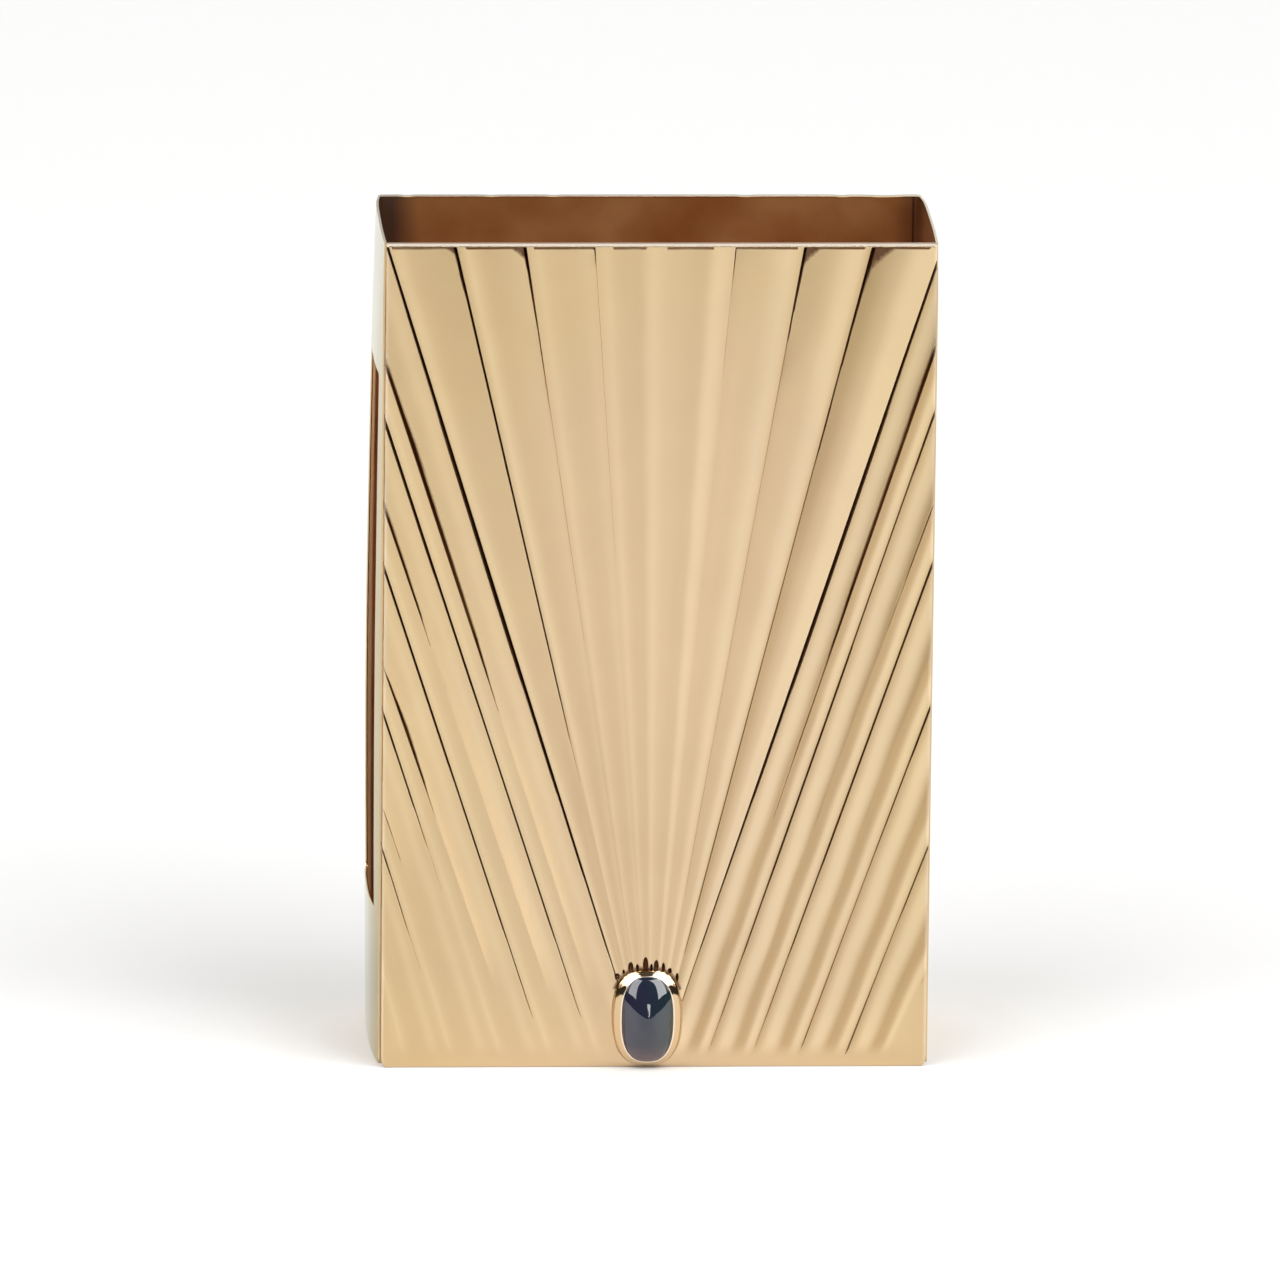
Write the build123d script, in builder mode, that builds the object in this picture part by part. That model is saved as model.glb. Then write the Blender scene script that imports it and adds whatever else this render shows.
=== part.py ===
"""Matchbox holder: an open-topped sleeve of soldered plates with a fluted front and an oval stone.

Units are millimetres. The origin is the middle of the sleeve's underside, +Z runs up to the
open mouth, the fluted front faces -Y and +X is to the right of someone who looks at it.
"""

from build123d import *
import math
import os

# Sleeve
sleeve_width = 39.0
sleeve_height = 60.0
sleeve_depth = 18.0
front_thickness = 1.25
back_thickness = 0.6
side_thickness = 0.25
base_thickness = 0.5
back_corner_radius = 0.4
rim_break = 0.1

# How far the side walls bow out: the left one at its foot, where it is fullest and at the mouth
left_foot_bow = 0.7
left_full_bow = 0.95
left_mouth_bow = 0.3
fullest_height = 25.0
right_bow = 0.4

# Striker windows in the side walls
window_sill = 11.0
window_head = 10.0
window_post = 2.15
window_corner = 0.4

# Sunray flutes on the front
ray_count = 8
flute_depth = 0.5
ridge_land = 0.06
rim_band = 0.3
plain_band = 1.2
run_out = 1.6
side_land = 1.15
fan_offset = -0.25
fan_drop = 1.2
cutter_overrun = 0.5

# Depth of each ray, from the corner ray to the middle one, as shares of the flute depth
ray_depth_shares = (1.0, 0.85, 0.5, 0.32)
# Section of a ray, from its outer ridge to its inner valley: across and deep
ray_section_shares = ((0.12, 0.12), (0.35, 0.3), (0.84, 0.42), (0.96, 0.8))
# Section of a side flute's floor, from its land to its inner valley: across and deep
side_section_shares = ((0.08, 0.5), (0.4, 0.64), (0.9, 0.8))
# Where the side flutes' outer edges meet the side of the panel, as shares of its height down
edge_line_shares = (0.2, 0.385, 0.56, 0.728, 0.885)
# Where the same edges meet the bottom, as shares of half the width out from the fan's middle
left_base_line_shares = (0.195, 0.371, 0.553, 0.731, 0.904)
right_base_line_shares = (0.195, 0.356, 0.529, 0.693, 0.859)

# Stone and its setting
stone_offset = -0.5
stone_height = 3.72
girdle_half_width = 1.94
girdle_half_height = 3.27
girdle_thickness = 0.2
dome_height = 1.45
stone_clearance = 0.02
collet_foot_half_width = 2.52
collet_foot_half_height = 3.5
collet_height = 0.8
collet_lip = 0.17
lip_height = 0.3
seat_depth = 0.4
seat_clearance = 0.02
bearer_height = 0.15
bearer_width = 0.4
notch_radius = 0.2
notch_depth = 0.35
notch_gap = 0.28
notch_taper = 20

os.makedirs("parts", exist_ok=True)

half_width = sleeve_width / 2
front_y = -sleeve_depth / 2
back_y = sleeve_depth / 2
wall_front_y = front_y + front_thickness
wall_back_y = back_y - back_thickness
wall_middle_y = (wall_front_y + wall_back_y) / 2
front_plane = Plane.XZ.offset(-front_y)
left_bows = (left_foot_bow, left_full_bow, left_mouth_bow)
right_bows = (right_bow, right_bow, right_bow)


def bow_at(bows, z):
    """Bow of a wall at height z, from its bows at the foot, where it is fullest and at the mouth."""
    foot, full, mouth = bows
    if z <= fullest_height:
        return foot + (full - foot) * z / fullest_height
    return mouth + (full - mouth) * (sleeve_height - z) / (sleeve_height - fullest_height)


def wall_arc(way, x, bows, z):
    """Bowed line of the left (-1) or right (1) wall in plan, from the front to the back plate."""
    middle = (way * (x + bow_at(bows, z)), wall_middle_y)
    return ThreePointArc((way * x, wall_front_y), middle, (way * x, wall_back_y))


def bowed_solid(first_line, second_line, heights):
    """Solid between two bowed lines, lofted through its plan at each height."""
    sections = []
    for z in heights:
        with BuildSketch(Plane.XY.offset(z)) as section:
            with BuildLine():
                first, second = first_line(z), second_line(z)
                Line(first @ 0, second @ 0)
                Line(first @ 1, second @ 1)
            make_face()
        sections.append(section.sketch)
    loft(sections=sections, ruled=True)


def finish(solid, label):
    """Names a piece and writes it to its own file."""
    solid.label = label
    export_step(solid, f"parts/{label}.step")


# Front plate, its flutes and the seat of the setting

fan_top = sleeve_height - rim_band
ray_pitch = sleeve_width / ray_count


def fan_share(z):
    """How wide the fan is at height z, as a share of its width at the top."""
    return (z + fan_drop) / (fan_top + fan_drop)


def ray_x(top_x, z):
    """X at height z of the ray edge that meets the top of the fan at top_x."""
    return fan_offset + (top_x - fan_offset) * fan_share(z)


def side_x(edge, z):
    """X at height z of a side flute's edge, given as (side_x, side_z, base_x)."""
    corner_x, side_z, base_x = edge
    return base_x + (corner_x - base_x) * z / side_z


def section_points(start, end, depth, section_shares):
    """Points of a flute's floor from its start to its inner valley."""
    points = [
        (start + (end - start) * across, front_y + depth * deep)
        for across, deep in section_shares
    ]
    return points + [(end, front_y + depth), (end, front_y - cutter_overrun)]


def ray_outline(outer_x, inner_x, depth):
    """Outline of a ray's cut: a gentle fall from the ridge, then a roll into the inner valley."""
    start, end = outer_x, inner_x + math.copysign(ridge_land, outer_x - inner_x)
    points = [(start, front_y - cutter_overrun), (start, front_y)]
    return points + section_points(start, end, depth, ray_section_shares)


def side_outline(outer_x, inner_x, depth):
    """Outline of a side flute's cut: a steep wall beside its land, then a sloped floor."""
    start = outer_x + math.copysign(side_land, inner_x - outer_x)
    end = inner_x + math.copysign(ridge_land, outer_x - inner_x)
    points = [(start, front_y - cutter_overrun)]
    return points + section_points(start, end, depth, side_section_shares)


def flute(outline, stations):
    """Cut of one flute, lofted through its outline at each (z, outer_x, inner_x, depth)."""
    sections = []
    for z, outer_x, inner_x, depth in stations:
        with BuildSketch(Plane.XY.offset(z)) as section:
            with BuildLine():
                Polyline(*outline(outer_x, inner_x, depth), close=True)
            make_face()
        sections.append(section.sketch)
    loft(sections=sections, ruled=True)


ray_foot = stone_height
run_out_top = plain_band + run_out
over_share = cutter_overrun / flute_depth / 2
side_foot = plain_band - run_out * over_share

with BuildPart() as flute_cuts:
    for way in (-1, 1):
        for ray, share in enumerate(ray_depth_shares):
            outer_top = way * (half_width - ray * ray_pitch)
            inner_top = outer_top - way * ray_pitch
            stations = [
                (z, ray_x(outer_top, z), ray_x(inner_top, z), flute_depth * share * fan_share(z))
                for z in (ray_foot, fan_top)
            ]
            flute(ray_outline, stations)
    for way, base_shares in ((-1, left_base_line_shares), (1, right_base_line_shares)):
        corner_x = way * half_width
        edges = [(corner_x, fan_top, ray_x(corner_x, 0))]
        edges += [
            (corner_x, sleeve_height * (1 - down), fan_offset + corner_x * out)
            for down, out in zip(edge_line_shares, base_shares)
        ]
        for inner, outer in zip(edges, edges[1:]):
            depths = {
                side_foot: -flute_depth * over_share,
                run_out_top: flute_depth,
                inner[1]: flute_depth,
            }
            stations = [
                (z, side_x(outer, z), side_x(inner, z), depth) for z, depth in depths.items()
            ]
            flute(side_outline, stations)

collet_centre = (stone_offset, stone_height)
notch_half_width = collet_foot_half_width + notch_gap
notch_half_height = collet_foot_half_height + notch_gap


def notch_place(ridge):
    """Where a ray's edge, counted from the left, meets the ring just outside the setting."""
    x = ray_x((ridge - ray_count / 2) * ray_pitch, stone_height + notch_half_height)
    reach = max(0, 1 - ((x - stone_offset) / notch_half_width) ** 2)
    return (x, stone_height + notch_half_height * math.sqrt(reach))


with BuildPart() as front_panel:
    with BuildSketch(Plane.XY):
        with Locations((0, (front_y + wall_front_y) / 2)):
            Rectangle(sleeve_width, front_thickness)
    extrude(amount=sleeve_height)
    add(flute_cuts.part, mode=Mode.SUBTRACT)
    with BuildSketch(front_plane):
        with Locations(collet_centre):
            Ellipse(collet_foot_half_width + seat_clearance, collet_foot_half_height + seat_clearance)
    extrude(amount=-seat_depth, mode=Mode.SUBTRACT)
    with BuildSketch(front_plane):
        with Locations(*[notch_place(ridge) for ridge in range(1, ray_count)]):
            Circle(notch_radius)
    extrude(amount=-notch_depth, taper=notch_taper, mode=Mode.SUBTRACT)
finish(front_panel.part, "front_panel")

# Back plate

with BuildPart() as back_panel:
    with BuildSketch(Plane.XY):
        with Locations((0, (wall_back_y + back_y) / 2)):
            Rectangle(sleeve_width, back_thickness)
    extrude(amount=sleeve_height)
    outer_corners = back_panel.edges().filter_by(Axis.Z).group_by(Axis.Y)[-1]
    fillet(outer_corners, radius=min(back_corner_radius, back_thickness - rim_break))
    chamfer(back_panel.faces().sort_by(Axis.Z)[-1].edges().sort_by(Axis.Y)[-1], length=rim_break)
finish(back_panel.part, "back_panel")

# Side walls, each a bowed sheet with a window over the matchbox's striking strip

window_width = wall_back_y - wall_front_y - window_post * 2
window_height = sleeve_height - window_sill - window_head


def side_wall(way, bows):
    """One bowed side wall, with its window cut through from outside."""
    with BuildPart() as wall:
        bowed_solid(
            lambda z: wall_arc(way, half_width, bows, z),
            lambda z: wall_arc(way, half_width - side_thickness, bows, z),
            (0, fullest_height, sleeve_height),
        )
        with BuildSketch(Plane.YZ.offset(way * half_width)):
            with Locations((wall_middle_y, window_sill + window_height / 2)):
                RectangleRounded(window_width, window_height, window_corner)
        extrude(amount=max(bows) + side_thickness * 2, both=True, mode=Mode.SUBTRACT)
    return wall.part


finish(side_wall(-1, left_bows), "left_side_wall")
finish(side_wall(1, right_bows), "right_side_wall")

# Base plate, let in between the four walls

with BuildPart() as base_plate:
    bowed_solid(
        lambda z: wall_arc(-1, half_width - side_thickness, left_bows, z),
        lambda z: wall_arc(1, half_width - side_thickness, right_bows, z),
        (0, base_thickness),
    )
finish(base_plate.part, "base_plate")

# Setting: a tapered collet, the bearer ring inside it and the stone it holds

seat_plane = front_plane.offset(-seat_depth)
bearer_plane = front_plane.offset(bearer_height)
lip_plane = front_plane.offset(collet_height)
cavity_half_width = girdle_half_width + stone_clearance
cavity_half_height = girdle_half_height + stone_clearance
dome_share = (collet_height - bearer_height - girdle_thickness) / dome_height
lip_share = math.sqrt(max(0, 1 - dome_share**2))
opening_half_width = girdle_half_width * lip_share + stone_clearance
opening_half_height = girdle_half_height * lip_share + stone_clearance


def oval(plane, half_width, half_height):
    """Oval outline of the setting on a plane, round the stone's axis."""
    with BuildSketch(plane) as outline:
        with Locations(collet_centre):
            Ellipse(half_width, half_height)
    return outline.sketch


with BuildPart() as stone_collet:
    foot = oval(seat_plane, collet_foot_half_width, collet_foot_half_height)
    lip = oval(lip_plane, opening_half_width + collet_lip, opening_half_height + collet_lip)
    loft(sections=[foot, lip], ruled=True)
    cavity_plane = lip_plane.offset(-lip_height)
    cavity = oval(seat_plane, cavity_half_width, cavity_half_height)
    extrude(cavity, amount=seat_depth + collet_height - lip_height, mode=Mode.SUBTRACT)
    throat = oval(cavity_plane, cavity_half_width, cavity_half_height)
    opening = oval(lip_plane, opening_half_width, opening_half_height)
    loft(sections=[throat, opening], ruled=True, mode=Mode.SUBTRACT)
finish(stone_collet.part, "stone_collet")

with BuildPart() as stone_bearer:
    ring = oval(seat_plane, girdle_half_width, girdle_half_height)
    extrude(ring, amount=seat_depth + bearer_height)
    hole = oval(seat_plane, girdle_half_width - bearer_width, girdle_half_height - bearer_width)
    extrude(hole, amount=seat_depth + bearer_height, mode=Mode.SUBTRACT)
finish(stone_bearer.part, "stone_bearer")

with BuildPart() as cabochon_stone:
    girdle_plane = bearer_plane.offset(girdle_thickness)
    dome_centre = (stone_offset, girdle_plane.origin.Y, stone_height)
    with Locations(dome_centre):
        Sphere(1)
    scale(by=(girdle_half_width, dome_height, girdle_half_height), about=dome_centre)
    split(bisect_by=girdle_plane, keep=Keep.TOP)
    girdle = oval(bearer_plane, girdle_half_width, girdle_half_height)
    extrude(girdle, amount=girdle_thickness)
finish(cabochon_stone.part, "cabochon_stone")
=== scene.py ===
# %% [markdown]
# # A fluted gold matchbox holder, dressed in Blender
#
# The holder is a sleeve of soldered gold plates. You slide a matchbox in at the open top and strike
# the matches through a window in the side. The solids of the part come from CAD and give every
# plate its place, so this lesson never moves them. It models each plate again with the finer form
# that a mirror polish shows: rolled flutes, thin engraved lines, bowed sides and softened edges.

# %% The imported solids
import math

import bmesh
import bpy
from mathutils import Matrix, Vector


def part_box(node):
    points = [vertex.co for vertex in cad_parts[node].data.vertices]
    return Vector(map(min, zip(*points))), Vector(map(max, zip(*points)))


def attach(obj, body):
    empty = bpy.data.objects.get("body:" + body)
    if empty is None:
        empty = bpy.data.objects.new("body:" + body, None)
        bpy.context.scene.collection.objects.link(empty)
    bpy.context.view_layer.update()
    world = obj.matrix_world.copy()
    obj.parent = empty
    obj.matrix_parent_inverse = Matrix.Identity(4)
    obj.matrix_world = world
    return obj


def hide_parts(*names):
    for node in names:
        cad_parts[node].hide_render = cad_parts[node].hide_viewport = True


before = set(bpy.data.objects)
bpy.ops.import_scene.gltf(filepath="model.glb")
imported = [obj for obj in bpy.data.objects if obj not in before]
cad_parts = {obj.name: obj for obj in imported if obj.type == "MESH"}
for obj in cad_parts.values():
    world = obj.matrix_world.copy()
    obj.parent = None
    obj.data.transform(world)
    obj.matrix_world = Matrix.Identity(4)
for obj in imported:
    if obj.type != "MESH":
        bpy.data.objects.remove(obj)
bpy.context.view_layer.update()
scene = bpy.context.scene
print("CAD nodes:", ", ".join(sorted(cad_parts)))

# %% [markdown]
# Goldsmiths think in millimetres and Blender in metres. So each size below is written in
# millimetres and is multiplied by mm where it goes into a mesh. The main sizes are read from the
# boxes of the CAD nodes, because a plate that is modelled again has to fill the place of its solid.

# %% Sizes of the sleeve
mm = 0.001


def node_box(name):
    """Lowest and highest corner of a CAD node, in millimetres."""
    low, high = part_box(name)
    return low / mm, high / mm


front_low, front_high = node_box("front_panel")
back_low, back_high = node_box("back_panel")
half_width, height = front_high.x, front_high.z
front_y, wall_front_y = front_low.y, front_high.y
wall_back_y, back_y = back_low.y, back_high.y
base_thickness = node_box("base_plate")[1].z
print(f"sleeve {half_width * 2:.2f} x {back_y - front_y:.2f} x {height:.2f} mm")

# %% [markdown]
# The camera stands over a metre away with a long lens, a little to the left and above, so the
# sleeve's edges stay almost parallel. A camera is placed from four facts: the point that it looks
# at, how far away it is, the direction of the look, and how much it leans.

# %% Camera
camera_target = Vector((-0.81, 0, 29.262))
camera_distance = 1200
camera_yaw, camera_pitch, camera_roll = math.radians(3.05), math.radians(13.26), math.radians(0.617)
picture_side, focal_pixels = 1280, 16745

level = math.cos(camera_pitch)
look = Vector((math.sin(camera_yaw) * level, math.cos(camera_yaw) * level, -math.sin(camera_pitch)))
level_right = Vector((math.cos(camera_yaw), -math.sin(camera_yaw), 0))
level_up = level_right.cross(look)
right = level_right * math.cos(camera_roll) + level_up * math.sin(camera_roll)
up = level_up * math.cos(camera_roll) - level_right * math.sin(camera_roll)
lens = bpy.data.cameras.new("camera")
camera = bpy.data.objects.new("camera", lens)
scene.collection.objects.link(camera)
lens.sensor_fit = "HORIZONTAL"
lens.angle = 2 * math.atan(picture_side / 2 / focal_pixels)
lens.clip_start, lens.clip_end = 0.05, 20
camera.matrix_world = Matrix.Translation((camera_target - look * camera_distance) * mm) @ Matrix(
    (right, up, -look)
).transposed().to_4x4()
scene.camera = camera
print("camera at", [round(v, 3) for v in camera.location])

# %% [markdown]
# Every operator works on what is selected, and after loading the CAD nodes are. So each piece
# starts with nothing selected. The helpers below add a box at its size and place, pick edges or
# faces by a rule, cut and extrude the mesh, and finish a piece.


# %% Working by hand, in code
def start():
    """Leaves edit mode and deselects everything."""
    if bpy.context.object and bpy.context.object.mode != "OBJECT":
        bpy.ops.object.mode_set(mode="OBJECT")
    bpy.ops.object.select_all(action="DESELECT")


def take(piece, mode="OBJECT"):
    """Makes a piece the only selected one, and enters a mode."""
    start()
    piece.select_set(True)
    bpy.context.view_layer.objects.active = piece
    bpy.ops.object.mode_set(mode=mode)
    return piece


def named(name):
    """Names the new primitive and its mesh, and moves its place and scale into the mesh."""
    piece = bpy.context.object
    piece.name = piece.data.name = name
    bpy.ops.object.transform_apply(location=True, rotation=True, scale=True)
    return piece


def block(name, low, high):
    """A box between two corners, given in millimetres."""
    start()
    low, high = Vector(low), Vector(high)
    bpy.ops.mesh.primitive_cube_add(size=1, location=(low + high) / 2 * mm, scale=(high - low) * mm)
    return named(name)


def pick(piece, kind, wanted):
    """In edit mode, selects only the edges or faces that a rule wants."""
    bpy.ops.mesh.select_mode(type=kind)
    bpy.ops.mesh.select_all(action="DESELECT")
    mesh = bmesh.from_edit_mesh(piece.data)
    for part in filter(wanted, mesh.edges if kind == "EDGE" else mesh.faces):
        part.select = True
    mesh.select_flush_mode()
    bmesh.update_edit_mesh(piece.data)


def cut(piece, point, normal):
    """In edit mode, cuts the whole mesh along a plane through a point in millimetres."""
    bpy.ops.mesh.select_all(action="SELECT")
    bpy.ops.mesh.bisect(plane_co=Vector(point) * mm, plane_no=normal, threshold=1e-8)


def extrude(y=0, z=0):
    """In edit mode, extrudes what is picked by a distance in metres."""
    bpy.ops.mesh.extrude_region_move(TRANSFORM_OT_translate={"value": (0, y, z)})


def finish_modifiers(piece):
    """Applies every modifier of a piece, in order."""
    take(piece)
    for modifier in list(piece.modifiers):
        bpy.ops.object.modifier_apply(modifier=modifier.name)


def press(piece, **rules):
    """Displaces each vertex along one or more axes by the millimetres that a rule gives."""
    start()
    points = [vertex.co / mm for vertex in piece.data.vertices]
    for axis, amount_at in rules.items():
        amounts = [amount_at(point) for point in points]
        low, high = min(amounts), max(amounts)
        group = piece.vertex_groups.new(name="pressed")
        for n, amount in enumerate(amounts):
            group.add([n], (amount - low) / max(high - low, 1e-9), "REPLACE")
        for amount, weights in ((high - low, group.name), (low, "")):
            if amount:
                modifier = piece.modifiers.new("pressed", "DISPLACE")
                modifier.direction, modifier.mid_level, modifier.strength = axis, 0, amount * mm
                modifier.vertex_group = weights
        print(f"{piece.name} pressed along {axis} by {low:.2f} to {high:.2f} mm")
    finish_modifiers(piece)
    piece.vertex_groups.clear()


def soften_edges(piece, width):
    """Rounds the sharp edges a little, as polishing does."""
    bevel = piece.modifiers.new("soft edges", "BEVEL")
    bevel.width, bevel.segments = width * mm, 2
    bevel.limit_method, bevel.angle_limit = "ANGLE", math.radians(40)
    finish_modifiers(piece)


def smooth(piece, angle=35):
    """Smooth shading, with creases kept where faces meet at more than an angle."""
    take(piece)
    bpy.ops.object.shade_smooth_by_angle(angle=math.radians(angle))


def subtract(piece, cutter):
    """Cuts one shape out of a piece and removes the cutter."""
    carve = piece.modifiers.new("carved", "BOOLEAN")
    carve.operation, carve.solver, carve.object = "DIFFERENCE", "EXACT", cutter
    finish_modifiers(piece)
    print(f"{cutter.name} carved, {piece.name} has {len(piece.data.polygons)} faces")
    bpy.data.objects.remove(cutter)


# %% [markdown]
# ## The sunray front
#
# The goldsmith cut long flutes into the thick front plate. Eight rays fan out from the stone to the
# rim, and more flutes fall from the sides to the foot. Each starts softly at its outer side and
# ends at a thin, steep groove. A straight line on the plate is written as its x at the foot and its
# slope, the change of x for each millimetre of height.


# %% Straight lines on the front plate
fan_x, fan_z = -0.25, -1.2
rim_z = height - 0.08


def ray(top_x):
    """Line from the fan's centre to the rim."""
    slope = (top_x - fan_x) / (rim_z - fan_z)
    return (fan_x - slope * fan_z, slope)


def chords(*ends):
    """Lines down to the foot, by their height at the plate's side and their x at the foot."""
    return [(x, (math.copysign(half_width, x) - x) / side_z) for side_z, x in ends]


def x_on(line, z):
    """X of a line at height z."""
    return line[0] + line[1] * z


def beside(line, distance):
    """The same line, moved sideways."""
    return (line[0] + distance, line[1])


def between(table, z):
    """Value at height z of a table of (height, value) rows, from high to low."""
    if z >= table[0][0]:
        return table[0][1]
    for (z1, v1), (z2, v2) in zip(table, table[1:]):
        if z >= z2:
            return v2 + (v1 - v2) * (z - z2) / (z1 - z2)
    return table[-1][1]


# %% [markdown]
# Each cut is listed with its outer edge, its inner edge and how wide the dark groove at its inner
# edge is on the way down. The side flutes also have a land, a strip of untouched plate beside their
# outer edge, and a step where the land falls into the cut. Widths are pairs of height and width.

# %% The cuts
none = ((60, 0),)
corner_groove = ((58, 0.2), (46, 0.27), (34, 0.3), (25, 0.24), (13, 0.13), (4, 0.05), (2, 0))
# Inner edges of the side flutes; the first on each side runs up to the plate's corner
left_edges = [ray(-19.35)]
left_edges += chords((47.5, -4.0), (36.8, -7.44), (26.2, -11.0), (16.2, -14.5), (6.2, -18))
right_edges = [(0.4, 0.3233)]
right_edges += chords((48.2, 3.55), (37.2, 6.74), (26.7, 10.06), (16.4, 13.38), (6.9, 16.5))
left_grooves = [
    corner_groove,
    ((47, 0.22), (37, 0.2), (28, 0.14), (13, 0.11), (4, 0.05), (2, 0)),
    ((36, 0.18), (25, 0.15), (13, 0.11), (4, 0.05), (2, 0)),
    ((26, 0.16), (20, 0.1), (15, 0.02), (12, 0)),
    ((16, 0.1), (11, 0.06), (7, 0)),
]
right_grooves = [
    corner_groove,
    ((48, 0.19), (42, 0.12), (36, 0.1), (28, 0.16), (16, 0.16), (7, 0.08), (3, 0.04)),
    ((37, 0.2), (30, 0.15), (16, 0.15), (7, 0.08), (3, 0.04)),
    ((26, 0.19), (20, 0.1), (7, 0.07), (3, 0.05)),
    ((16, 0.14), (10, 0.08), (3, 0.09)),
]
# Land beside each side flute's outer edge, and the dark step at its inner side
left_lands = chords((51.0, -2.73), (40.6, -5.65), (29.2, -9.35), (19, -13), (8.5, -17))
right_lands = chords((52.35, 2.41), (41.1, 5.13), (30.4, 8.5), (20, 11.9), (10, 15))
left_steps = [
    ((50, 0.2), (46, 0.28), (40, 0.22), (32, 0.18), (27, 0.04), (24, 0)),
    ((40, 0.18), (34, 0.12), (31, 0.02), (29, 0)),
    ((29, 0.08), (25, 0.2), (21, 0.1), (18, 0)),
    ((18, 0.05), (15, 0.03), (12, 0)),
    none,
]
right_steps = [
    ((51, 0.2), (36, 0.17), (30, 0.09), (20, 0.03), (10, 0.02), (4, 0)),
    ((40, 0.08), (34, 0.03), (10, 0.02), (4, 0)),
] + [none] * 3
# The rays: outer edge and inner edge at the rim, depth of the floor there, how dark the painted
# shadow line under the rim is, and how far the painted shade in the dark corner beside the rim
# reaches, across and down
rays = [
    (-19.15, -14.55, 0.34, 0.6, (1.0, 0.9)),
    (-13.85, -9.62, 0.32, 1, (1.35, 1.25)),
    (-9.1, -4.75, 0.2, 0.8, (0.6, 0.3)),
    (-3.45, -1.15, 0.1, 0.6, (0.1, 0.1)),
    (3.65, 0.4, 0.1, 0.6, (0.1, 0.1)),
    (9.6, 5.2, 0.26, 0.8, (0.5, 0.25)),
    (14.35, 10.05, 0.32, 1, (1.45, 1.7)),
    (18.95, 14.85, 0.36, 1, (1.9, 2.4)),
]
ray_grooves = [
    ((59, 0.25), (56, 0.16), (46, 0.14), (28, 0.09), (22, 0.02), (20, 0)),
    ((59, 0.22), (57, 0.1), (52, 0.06), (46, 0.02), (20, 0.01), (10, 0)),
    ((59.4, 0.08), (58.5, 0.02), (30, 0.02), (10, 0)),
    none,
    none,
    ((59.4, 0.08), (57, 0.03), (55, 0.01), (10, 0.01)),
    ((59, 0.25), (56, 0.14), (52, 0.04), (10, 0.03), (6, 0)),
    ((59, 0.3), (56, 0.2), (50, 0.11), (40, 0.06), (10, 0.06), (6, 0)),
]
side_floor_depth = 0.3
# The stone's middle, the collet's half sizes on the plate, and how full its outline is
stone_x, stone_z = -0.5, 3.72
collet_foot, fullness = (2.52, 3.5), 2.6
# Stop cuts above the stone: centre x and z, half width and half height
stop_cuts = (
    (-2.66, 6.68, 0.2, 0.24), (-2.2, 7.02, 0.1, 0.16), (-1.7, 7.33, 0.2, 0.42),
    (-1.22, 7.36, 0.12, 0.22), (-0.64, 7.52, 0.2, 0.6), (-0.22, 7.36, 0.1, 0.26),
    (0.13, 7.42, 0.18, 0.48), (0.64, 7.28, 0.13, 0.42), (1.1, 7.08, 0.15, 0.22),
    (1.62, 6.6, 0.12, 0.34),
)

cuts = []
for (outer, inner, depth, shadow, corner), groove in zip(rays, ray_grooves):
    one = dict(outer=ray(outer), inner=ray(inner), depth=depth, groove=groove, step=none)
    cuts.append(dict(one, ray=True, shadow=shadow, corner=corner))
for outer, inner, groove, step in (
    *zip(left_lands, left_edges, left_grooves, left_steps),
    *zip(right_lands, right_edges, right_grooves, right_steps),
):
    one = dict(outer=outer, inner=inner, depth=side_floor_depth, groove=groove, step=step)
    cuts.append(dict(one, ray=False))
print(len(cuts), "cuts in the front plate")

# %% [markdown]
# The depth at a point of the plate follows from the cut that it is in. A groove is a V with steep
# sides. Gold mirrors gold in there again and again, and old dust has settled, so it looks nearly
# black. The finish paints that darkness, dust and painted shade together. How far a point is
# inside such a line becomes an attribute of the mesh, for the finish. The same attribute carries
# painted shade in the stop cuts, above the seat, under the rim and in the corners beside it.

# %% Depth of the relief
groove_steepness, groove_wall, deepest = 1.7, 0.03, 0.85
# Sum of groove widths nearby at which an edge is hard, and the share of depth where it is soft
hard_sum, soft_share = 0.4, 0.35
# Heights where the relief starts and ends its rise from the foot, and where side flutes are full
foot_start, foot_end, run_out = 0.5, 2.4, 12
top_radius, side_radius, foot_radius = 0.05, 0.15, 0.1
tolerance = 1e-4


def ramp(value, start_at, end_at):
    """0 before the start and 1 after the end, with a smooth rise between them."""
    share = min(1, max(0, (value - start_at) / (end_at - start_at)))
    return share * share * (3 - 2 * share)


def cut_at(x, z):
    """The cut that holds a point of the front, with how far the point is from its two edges."""
    for one in cuts:
        outer_x, inner_x = x_on(one["outer"], z), x_on(one["inner"], z)
        span = inner_x - outer_x
        if abs(span) > 1e-6 and -tolerance <= (x - outer_x) / span <= 1 + tolerance:
            return one, abs(x - outer_x), abs(inner_x - x)
    return None, 0, 0


def cut_depth(x, z):
    """Depth in millimetres of the cut at a point of the front, 0 on the untouched plate."""
    one, to_outer, to_inner = cut_at(x, z)
    if not one or z > rim_z + tolerance:
        return 0
    share = to_outer / (to_outer + to_inner)
    groove, step = between(one["groove"], z), between(one["step"], z)
    hard = min(1, sum(between(one["groove"], z + lift) for lift in (-4, -2, 0, 2, 4)) / hard_sum)
    if one["ray"]:
        slope = share * share * hard + math.sin(math.pi * share) ** 2 * 0.75 * (1 - hard)
        depth = one["depth"] * (z - fan_z) / (rim_z - fan_z) * slope
    else:
        depth = one["depth"] * (1 - (1 - share) ** 2) * (soft_share + (1 - soft_share) * hard)
        depth *= (1 - (1 - hard) * ramp(share, 0.55, 1)) * ramp(z, -2, run_out)
    for width, distance in ((groove, to_inner), (step, abs(to_outer - step * 0.6) + step * 0.4)):
        if width > 0:
            depth += width * groove_steepness * max(0, 1 - distance / width)
    depth = deepest * math.tanh(depth / deepest)
    depth *= min(1, to_inner / groove_wall, to_outer / groove_wall)
    return depth * ramp(z, foot_start, foot_end)


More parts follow.
